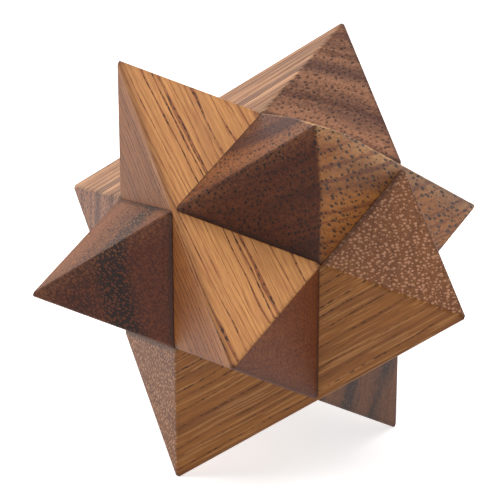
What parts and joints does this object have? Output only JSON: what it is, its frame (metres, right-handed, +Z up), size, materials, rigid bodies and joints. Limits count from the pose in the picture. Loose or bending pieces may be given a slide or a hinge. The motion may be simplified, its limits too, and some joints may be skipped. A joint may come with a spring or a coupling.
{
  "type": "burr puzzle",
  "caption": "Diagonal burr puzzle: six identical notched square wooden sticks with pointed ends that interlock into a twelve-pointed star standing on three tips.",
  "frame": {"origin": "on the surface that the star stands on, straight below its centre, in the middle of the three tips that it rests on", "axes": "+Z up along the star's upright body diagonal, +Y away from the front and along the longest width, across two opposite tips, +X to the right"},
  "size_m": [0.0772, 0.0888, 0.0726],
  "materials": {
    "golden_wood": "satin",
    "umber_wood": "satin",
    "walnut_wood": "satin",
    "russet_wood": "satin",
    "honey_wood": "satin",
    "grey_wood": "satin"
  },
  "bodies": {
    "upper_front_stick": {"upper_front_stick": "golden_wood"},
    "upper_right_stick": {"upper_right_stick": "umber_wood"},
    "upper_back_stick": {"upper_back_stick": "walnut_wood"},
    "lower_left_stick": {"lower_left_stick": "russet_wood"},
    "lower_front_stick": {"lower_front_stick": "honey_wood"},
    "lower_back_stick": {"lower_back_stick": "grey_wood"}
  },
  "joints": [
    {"name": "lower_back_slide", "type": "slide", "parent": "lower_left_stick", "child": "lower_back_stick", "axis": [0.4714, 0.8165, 0.3333], "range_m": [0, 0.03]},
    {"name": "upper_back_slide", "type": "slide", "parent": "lower_back_stick", "child": "upper_back_stick", "axis": [0, 0, 1], "range_m": [0, 0.03]},
    {"name": "upper_right_slide", "type": "slide", "parent": "upper_back_stick", "child": "upper_right_stick", "axis": [0.4714, -0.8165, 0.3333], "range_m": [0, 0.03]},
    {"name": "lower_front_slide", "type": "slide", "parent": "lower_left_stick", "child": "lower_front_stick", "axis": [0.4714, -0.8165, 0.3333], "range_m": [0, 0.03]},
    {"name": "upper_front_slide", "type": "slide", "parent": "lower_front_stick", "child": "upper_front_stick", "axis": [0, 0, 1], "range_m": [0, 0.03]}
  ],
  "couplings": [
    {"joint": "upper_right_slide", "follows": "lower_front_slide", "ratio": 1},
    {"joint": "upper_front_slide", "follows": "upper_back_slide", "ratio": 1}
  ]
}
